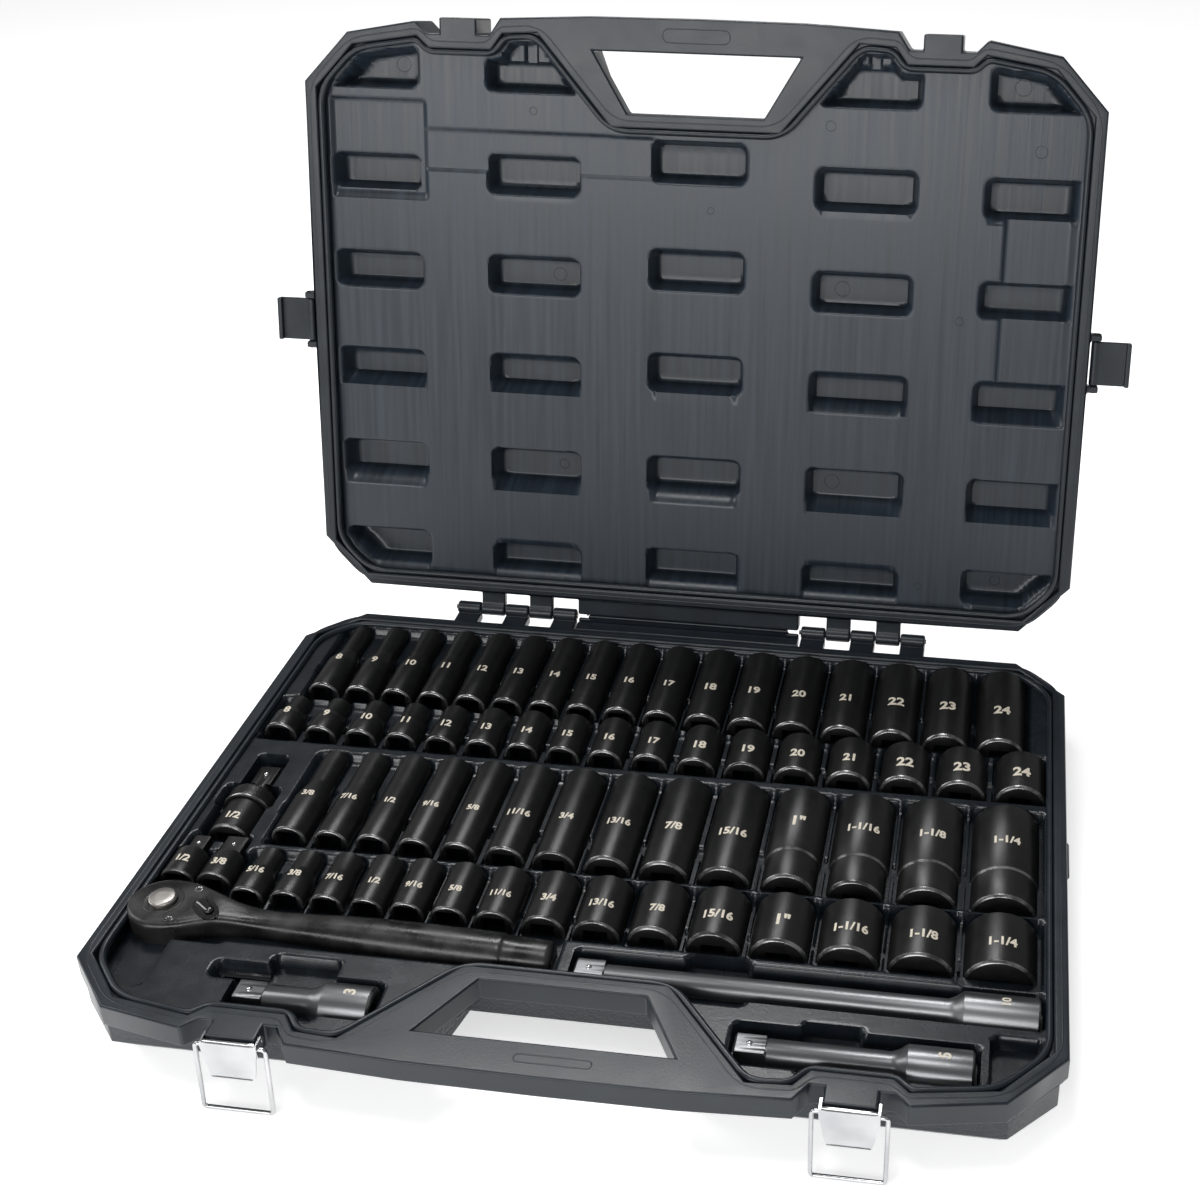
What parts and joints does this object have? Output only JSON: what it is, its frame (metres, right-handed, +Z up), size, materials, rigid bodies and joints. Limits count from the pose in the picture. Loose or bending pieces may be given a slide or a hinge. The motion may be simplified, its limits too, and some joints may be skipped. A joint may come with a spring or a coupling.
{
  "type": "socket wrench set in case",
  "caption": "Impact socket set with ratchet, extension bars, adapters and universal joint in an open blow-moulded carrying case with a hinged lid and wire draw latches.",
  "frame": {"origin": "centre of the flat underside of the case's base, level with the ground", "axes": "+Z up from the ground, -Y towards the front of the case where the handle and the draw latches are, +X to the right seen from the front"},
  "size_m": [0.582, 0.5358, 0.4534],
  "materials": {
    "case_plastic": "satin",
    "liner_plastic": "satin",
    "black_oxide_steel": "satin",
    "bright_steel": "polished",
    "brushed_steel": "satin",
    "gloss_black": "gloss"
  },
  "bodies": {
    "case_base": {"base_shell": "case_plastic", "tool_tray": "case_plastic", "hinge_pin_left": "brushed_steel", "hinge_pin_right": "brushed_steel"},
    "lid": {"lid_shell": "case_plastic", "lid_liner": "liner_plastic"},
    "latch_plate_left": {"latch_plate_left": "bright_steel"},
    "latch_bail_left": {"latch_bail_left": "bright_steel"},
    "side_latch_left": {"side_latch_left": "case_plastic"},
    "latch_plate_right": {"latch_plate_right": "bright_steel"},
    "latch_bail_right": {"latch_bail_right": "bright_steel"},
    "side_latch_right": {"side_latch_right": "case_plastic"},
    "deep_socket_metric_08": {"deep_socket_metric_08": "black_oxide_steel"},
    "deep_socket_metric_09": {"deep_socket_metric_09": "black_oxide_steel"},
    "deep_socket_metric_10": {"deep_socket_metric_10": "black_oxide_steel"},
    "deep_socket_metric_11": {"deep_socket_metric_11": "black_oxide_steel"},
    "deep_socket_metric_12": {"deep_socket_metric_12": "black_oxide_steel"},
    "deep_socket_metric_13": {"deep_socket_metric_13": "black_oxide_steel"},
    "deep_socket_metric_14": {"deep_socket_metric_14": "black_oxide_steel"},
    "deep_socket_metric_15": {"deep_socket_metric_15": "black_oxide_steel"},
    "deep_socket_metric_16": {"deep_socket_metric_16": "black_oxide_steel"},
    "deep_socket_metric_17": {"deep_socket_metric_17": "black_oxide_steel"},
    "deep_socket_metric_18": {"deep_socket_metric_18": "black_oxide_steel"},
    "deep_socket_metric_19": {"deep_socket_metric_19": "black_oxide_steel"},
    "deep_socket_metric_20": {"deep_socket_metric_20": "black_oxide_steel"},
    "deep_socket_metric_21": {"deep_socket_metric_21": "black_oxide_steel"},
    "deep_socket_metric_22": {"deep_socket_metric_22": "black_oxide_steel"},
    "deep_socket_metric_23": {"deep_socket_metric_23": "black_oxide_steel"},
    "deep_socket_metric_24": {"deep_socket_metric_24": "black_oxide_steel"},
    "deep_socket_inch_3_8": {"deep_socket_inch_3_8": "black_oxide_steel"},
    "deep_socket_inch_7_16": {"deep_socket_inch_7_16": "black_oxide_steel"},
    "deep_socket_inch_1_2": {"deep_socket_inch_1_2": "black_oxide_steel"},
    "deep_socket_inch_9_16": {"deep_socket_inch_9_16": "black_oxide_steel"},
    "deep_socket_inch_5_8": {"deep_socket_inch_5_8": "black_oxide_steel"},
    "deep_socket_inch_11_16": {"deep_socket_inch_11_16": "black_oxide_steel"},
    "deep_socket_inch_3_4": {"deep_socket_inch_3_4": "black_oxide_steel"},
    "deep_socket_inch_13_16": {"deep_socket_inch_13_16": "black_oxide_steel"},
    "deep_socket_inch_7_8": {"deep_socket_inch_7_8": "black_oxide_steel"},
    "deep_socket_inch_15_16": {"deep_socket_inch_15_16": "black_oxide_steel"},
    "deep_socket_inch_1": {"deep_socket_inch_1": "black_oxide_steel"},
    "deep_socket_inch_1-1_16": {"deep_socket_inch_1-1_16": "black_oxide_steel"},
    "deep_socket_inch_1-1_8": {"deep_socket_inch_1-1_8": "black_oxide_steel"},
    "deep_socket_inch_1-1_4": {"deep_socket_inch_1-1_4": "black_oxide_steel"},
    "short_metric_sockets": {"short_metric_sockets": "black_oxide_steel"},
    "short_inch_sockets": {"short_inch_sockets": "black_oxide_steel"},
    "extension_10in": {"extension_10in": "black_oxide_steel"},
    "extension_3in": {"extension_3in": "black_oxide_steel"},
    "extension_5in": {"extension_5in": "black_oxide_steel"},
    "adapter_half_to_three_eighths": {"adapter_half_to_three_eighths": "black_oxide_steel"},
    "adapter_three_eighths_to_half": {"adapter_three_eighths_to_half": "black_oxide_steel"},
    "universal_joint": {"universal_socket_half": "black_oxide_steel", "universal_collar": "black_oxide_steel"},
    "universal_drive": {"universal_drive_half": "black_oxide_steel"},
    "ratchet": {"ratchet_body": "black_oxide_steel", "ratchet_cover": "black_oxide_steel"},
    "drive_gear": {"drive_gear": "black_oxide_steel"},
    "release_button": {"release_button": "brushed_steel"},
    "reverse_lever": {"reverse_lever": "gloss_black"},
    "pawl": {"pawl": "brushed_steel"}
  },
  "joints": [
    {"name": "lid_hinge", "type": "hinge", "parent": "case_base", "child": "lid", "pos_m": [0, 0.2048, 0.0507], "axis": [-1, 0, 0], "range_deg": [-102.4, 0]},
    {"name": "latch_plate_left_pivot", "type": "hinge", "parent": "case_base", "child": "latch_plate_left", "pos_m": [-0.158, -0.1985, 0.044], "axis": [-1, 0, 0], "range_deg": [0, 105]},
    {"name": "latch_bail_left_pivot", "type": "hinge", "parent": "latch_plate_left", "child": "latch_bail_left", "pos_m": [-0.158, -0.204, 0.043], "axis": [1, 0, 0], "range_deg": [-180.7, 0]},
    {"name": "side_latch_left_hinge", "type": "hinge", "parent": "lid", "child": "side_latch_left", "pos_m": [-0.268, 0.2504, 0.24832], "axis": [0, 0.2147, 0.9767], "range_deg": [0, 88]},
    {"name": "latch_plate_right_pivot", "type": "hinge", "parent": "case_base", "child": "latch_plate_right", "pos_m": [0.158, -0.1985, 0.044], "axis": [-1, 0, 0], "range_deg": [0, 105]},
    {"name": "latch_bail_right_pivot", "type": "hinge", "parent": "latch_plate_right", "child": "latch_bail_right", "pos_m": [0.158, -0.204, 0.043], "axis": [1, 0, 0], "range_deg": [-180.7, 0]},
    {"name": "side_latch_right_hinge", "type": "hinge", "parent": "lid", "child": "side_latch_right", "pos_m": [0.268, 0.2504, 0.24832], "axis": [0, -0.2147, -0.9767], "range_deg": [0, 88]},
    {"name": "deep_socket_metric_08_lift", "type": "slide", "parent": "case_base", "child": "deep_socket_metric_08", "axis": [0, 0, 1], "range_m": [0, 0.06]},
    {"name": "deep_socket_metric_09_lift", "type": "slide", "parent": "case_base", "child": "deep_socket_metric_09", "axis": [0, 0, 1], "range_m": [0, 0.06]},
    {"name": "deep_socket_metric_10_lift", "type": "slide", "parent": "case_base", "child": "deep_socket_metric_10", "axis": [0, 0, 1], "range_m": [0, 0.06]},
    {"name": "deep_socket_metric_11_lift", "type": "slide", "parent": "case_base", "child": "deep_socket_metric_11", "axis": [0, 0, 1], "range_m": [0, 0.06]},
    {"name": "deep_socket_metric_12_lift", "type": "slide", "parent": "case_base", "child": "deep_socket_metric_12", "axis": [0, 0, 1], "range_m": [0, 0.06]},
    {"name": "deep_socket_metric_13_lift", "type": "slide", "parent": "case_base", "child": "deep_socket_metric_13", "axis": [0, 0, 1], "range_m": [0, 0.06]},
    {"name": "deep_socket_metric_14_lift", "type": "slide", "parent": "case_base", "child": "deep_socket_metric_14", "axis": [0, 0, 1], "range_m": [0, 0.06]},
    {"name": "deep_socket_metric_15_lift", "type": "slide", "parent": "case_base", "child": "deep_socket_metric_15", "axis": [0, 0, 1], "range_m": [0, 0.06]},
    {"name": "deep_socket_metric_16_lift", "type": "slide", "parent": "case_base", "child": "deep_socket_metric_16", "axis": [0, 0, 1], "range_m": [0, 0.06]},
    {"name": "deep_socket_metric_17_lift", "type": "slide", "parent": "case_base", "child": "deep_socket_metric_17", "axis": [0, 0, 1], "range_m": [0, 0.06]},
    {"name": "deep_socket_metric_18_lift", "type": "slide", "parent": "case_base", "child": "deep_socket_metric_18", "axis": [0, 0, 1], "range_m": [0, 0.06]},
    {"name": "deep_socket_metric_19_lift", "type": "slide", "parent": "case_base", "child": "deep_socket_metric_19", "axis": [0, 0, 1], "range_m": [0, 0.06]},
    {"name": "deep_socket_metric_20_lift", "type": "slide", "parent": "case_base", "child": "deep_socket_metric_20", "axis": [0, 0, 1], "range_m": [0, 0.06]},
    {"name": "deep_socket_metric_21_lift", "type": "slide", "parent": "case_base", "child": "deep_socket_metric_21", "axis": [0, 0, 1], "range_m": [0, 0.06]},
    {"name": "deep_socket_metric_22_lift", "type": "slide", "parent": "case_base", "child": "deep_socket_metric_22", "axis": [0, 0, 1], "range_m": [0, 0.06]},
    {"name": "deep_socket_metric_23_lift", "type": "slide", "parent": "case_base", "child": "deep_socket_metric_23", "axis": [0, 0, 1], "range_m": [0, 0.06]},
    {"name": "deep_socket_metric_24_lift", "type": "slide", "parent": "case_base", "child": "deep_socket_metric_24", "axis": [0, 0, 1], "range_m": [0, 0.06]},
    {"name": "deep_socket_inch_3_8_lift", "type": "slide", "parent": "case_base", "child": "deep_socket_inch_3_8", "axis": [0, 0, 1], "range_m": [0, 0.06]},
    {"name": "deep_socket_inch_7_16_lift", "type": "slide", "parent": "case_base", "child": "deep_socket_inch_7_16", "axis": [0, 0, 1], "range_m": [0, 0.06]},
    {"name": "deep_socket_inch_1_2_lift", "type": "slide", "parent": "case_base", "child": "deep_socket_inch_1_2", "axis": [0, 0, 1], "range_m": [0, 0.06]},
    {"name": "deep_socket_inch_9_16_lift", "type": "slide", "parent": "case_base", "child": "deep_socket_inch_9_16", "axis": [0, 0, 1], "range_m": [0, 0.06]},
    {"name": "deep_socket_inch_5_8_lift", "type": "slide", "parent": "case_base", "child": "deep_socket_inch_5_8", "axis": [0, 0, 1], "range_m": [0, 0.06]},
    {"name": "deep_socket_inch_11_16_lift", "type": "slide", "parent": "case_base", "child": "deep_socket_inch_11_16", "axis": [0, 0, 1], "range_m": [0, 0.06]},
    {"name": "deep_socket_inch_3_4_lift", "type": "slide", "parent": "case_base", "child": "deep_socket_inch_3_4", "axis": [0, 0, 1], "range_m": [0, 0.06]},
    {"name": "deep_socket_inch_13_16_lift", "type": "slide", "parent": "case_base", "child": "deep_socket_inch_13_16", "axis": [0, 0, 1], "range_m": [0, 0.06]},
    {"name": "deep_socket_inch_7_8_lift", "type": "slide", "parent": "case_base", "child": "deep_socket_inch_7_8", "axis": [0, 0, 1], "range_m": [0, 0.06]},
    {"name": "deep_socket_inch_15_16_lift", "type": "slide", "parent": "case_base", "child": "deep_socket_inch_15_16", "axis": [0, 0, 1], "range_m": [0, 0.06]},
    {"name": "deep_socket_inch_1_lift", "type": "slide", "parent": "case_base", "child": "deep_socket_inch_1", "axis": [0, 0, 1], "range_m": [0, 0.06]},
    {"name": "deep_socket_inch_1-1_16_lift", "type": "slide", "parent": "case_base", "child": "deep_socket_inch_1-1_16", "axis": [0, 0, 1], "range_m": [0, 0.06]},
    {"name": "deep_socket_inch_1-1_8_lift", "type": "slide", "parent": "case_base", "child": "deep_socket_inch_1-1_8", "axis": [0, 0, 1], "range_m": [0, 0.06]},
    {"name": "deep_socket_inch_1-1_4_lift", "type": "slide", "parent": "case_base", "child": "deep_socket_inch_1-1_4", "axis": [0, 0, 1], "range_m": [0, 0.06]},
    {"name": "short_metric_sockets_lift", "type": "slide", "parent": "case_base", "child": "short_metric_sockets", "axis": [0, 0, 1], "range_m": [0, 0.06]},
    {"name": "short_inch_sockets_lift", "type": "slide", "parent": "case_base", "child": "short_inch_sockets", "axis": [0, 0, 1], "range_m": [0, 0.06]},
    {"name": "extension_10in_lift", "type": "slide", "parent": "case_base", "child": "extension_10in", "axis": [0, 0, 1], "range_m": [0, 0.06]},
    {"name": "extension_3in_lift", "type": "slide", "parent": "case_base", "child": "extension_3in", "axis": [0, 0, 1], "range_m": [0, 0.06]},
    {"name": "extension_5in_lift", "type": "slide", "parent": "case_base", "child": "extension_5in", "axis": [0, 0, 1], "range_m": [0, 0.06]},
    {"name": "adapter_half_to_three_eighths_lift", "type": "slide", "parent": "case_base", "child": "adapter_half_to_three_eighths", "axis": [0, 0, 1], "range_m": [0, 0.06]},
    {"name": "adapter_three_eighths_to_half_lift", "type": "slide", "parent": "case_base", "child": "adapter_three_eighths_to_half", "axis": [0, 0, 1], "range_m": [0, 0.06]},
    {"name": "universal_joint_lift", "type": "slide", "parent": "case_base", "child": "universal_joint", "axis": [0, 0, 1], "range_m": [0, 0.06]},
    {"name": "universal_tilt", "type": "hinge", "parent": "universal_joint", "child": "universal_drive", "pos_m": [-0.231, -0.01, 0.0353], "axis": [1, 0, 0], "range_deg": [0, 25]},
    {"name": "ratchet_lift", "type": "slide", "parent": "case_base", "child": "ratchet", "axis": [0, 0, 1], "range_m": [0, 0.06]},
    {"name": "drive_spin", "type": "hinge", "parent": "ratchet", "child": "drive_gear", "pos_m": [-0.236, -0.114, 0.04], "axis": [0, 0, 1], "continuous": true},
    {"name": "button_press", "type": "slide", "parent": "drive_gear", "child": "release_button", "axis": [0, 0, -1], "range_m": [0, 0.002]},
    {"name": "lever_turn", "type": "hinge", "parent": "ratchet", "child": "reverse_lever", "pos_m": [-0.213, -0.114, 0.05], "axis": [0, 0, 1], "range_deg": [0, 60]},
    {"name": "pawl_rock", "type": "hinge", "parent": "ratchet", "child": "pawl", "pos_m": [-0.2207, -0.114, 0.038], "axis": [0, 0, 1], "range_deg": [-9, 0]}
  ]
}
